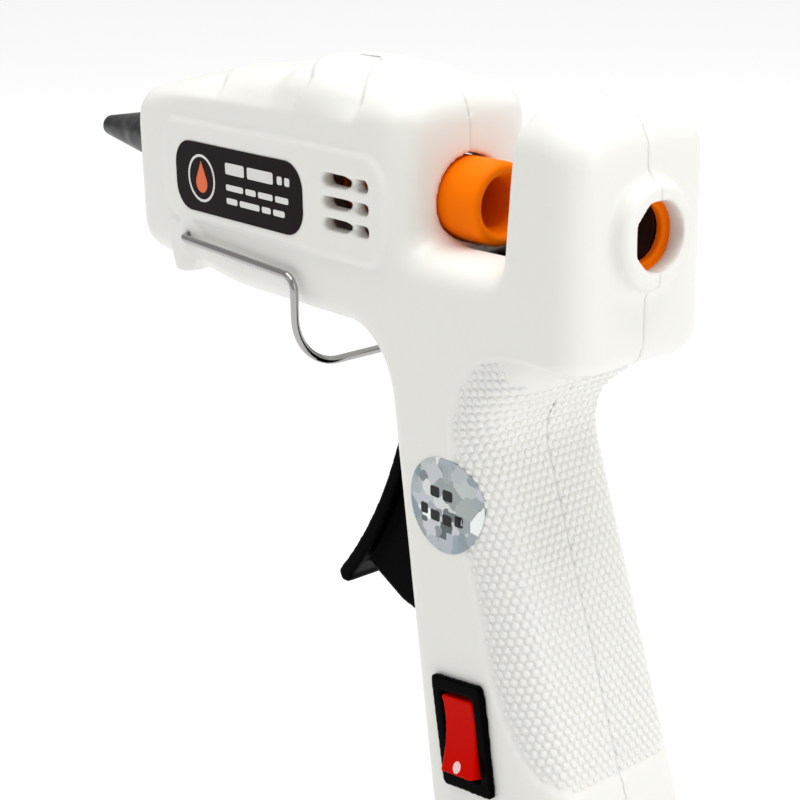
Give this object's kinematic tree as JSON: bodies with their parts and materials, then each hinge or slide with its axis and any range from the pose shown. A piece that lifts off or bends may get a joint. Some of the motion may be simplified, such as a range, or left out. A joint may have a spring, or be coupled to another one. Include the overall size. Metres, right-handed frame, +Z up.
{
  "type": "hot glue gun",
  "caption": "Small hot-glue gun: split shell with an open stick saddle, sprung trigger that feeds the stick, fold-down wire stand, rocker switch and a metal cone nozzle",
  "frame": {"origin": "centre of the rear stick hole's mouth, on the stick and nozzle axis", "axes": "+X points back out of the stick hole, so the nozzle points along -X; +Z is up; -Y is the side with the label, vents and switch"},
  "size_m": [0.1258, 0.0292, 0.1106],
  "materials": {
    "housing_plastic": "moulded, satin, cream white",
    "nozzle_metal": "dark, heat-tinted, fine turning marks",
    "aluminium_casting": "cast",
    "ceramic_element": "fired",
    "amber_film": "polyimide film",
    "spring_steel": "drawn",
    "orange_silicone": "soft, satin",
    "insulating_board": "pressed board",
    "carriage_plastic": "moulded, dark brown",
    "bright_steel": "bright",
    "black_plastic": "satin",
    "chrome_wire": "bright drawn wire",
    "switch_black": "moulded",
    "switch_red": "moulded",
    "terminal_brass": "stamped",
    "label_film": "printed film",
    "silver_film": "faceted silvery film",
    "black_rubber": "moulded",
    "lead_white": "woven glass sleeve",
    "crimp_metal": "tinned"
  },
  "bodies": {
    "housing": {"cord_inlet_bush": "black_rubber", "crimp_sleeves": "crimp_metal", "front_heat_ring": "insulating_board", "heater_element": "ceramic_element", "heater_insulator": "amber_film", "heater_lead_live": "lead_white", "heater_lead_neutral": "lead_white", "heater_press_strip": "spring_steel", "housing_screws": "bright_steel", "inlet_sleeve": "orange_silicone", "inspection_sticker": "silver_film", "label_plate": "label_film", "left_shell": "housing_plastic", "melt_chamber": "aluminium_casting", "nozzle": "nozzle_metal", "rear_heat_ring": "insulating_board", "right_shell": "housing_plastic", "sleeve_clamp": "spring_steel", "stick_guide_ring": "orange_silicone", "switch_housing": "switch_black", "switch_lead": "lead_white", "switch_terminals": "terminal_brass", "trigger_pivot_pin": "bright_steel", "trigger_spring": "spring_steel"},
    "trigger": {"trigger": "black_plastic", "trigger_drive_pin": "bright_steel"},
    "feed_carriage": {"feed_carriage": "carriage_plastic", "jaw_pin": "bright_steel"},
    "grip_jaw": {"grip_jaw": "bright_steel"},
    "stand": {"stand_wire": "chrome_wire"},
    "rocker": {"switch_rocker": "switch_red"}
  },
  "joints": [
    {"name": "trigger_pull", "type": "hinge", "parent": "housing", "child": "trigger", "pos_m": [-0.034, 0, -0.021], "axis": [0, -1, 0], "range_deg": [0, 24], "stiffness_Nm_per_rad": 0.3, "springref_deg": -17.19, "deforming": ["trigger_spring"]},
    {"name": "feed_slide", "type": "slide", "parent": "housing", "child": "feed_carriage", "axis": [-1, 0, 0], "range_m": [0, 0.0048]},
    {"name": "jaw_grip", "type": "hinge", "parent": "feed_carriage", "child": "grip_jaw", "pos_m": [-0.0066, 0, -0.008], "axis": [0, 1, 0], "range_deg": [0, 8.01]},
    {"name": "stand_fold", "type": "hinge", "parent": "housing", "child": "stand", "pos_m": [-0.085, 0, -0.0113], "axis": [0, 1, 0], "range_deg": [0, 110]},
    {"name": "switch_rock", "type": "hinge", "parent": "housing", "child": "rocker", "pos_m": [-0.02158, -0.01145, -0.071], "axis": [0.9875, -0.0177, 0.1565], "range_deg": [0, 16]}
  ],
  "couplings": [
    {"joint": "feed_slide", "follows": "trigger_pull", "m_per_rad": 0.011416},
    {"joint": "jaw_grip", "follows": "trigger_pull", "ratio": 0.33333}
  ]
}
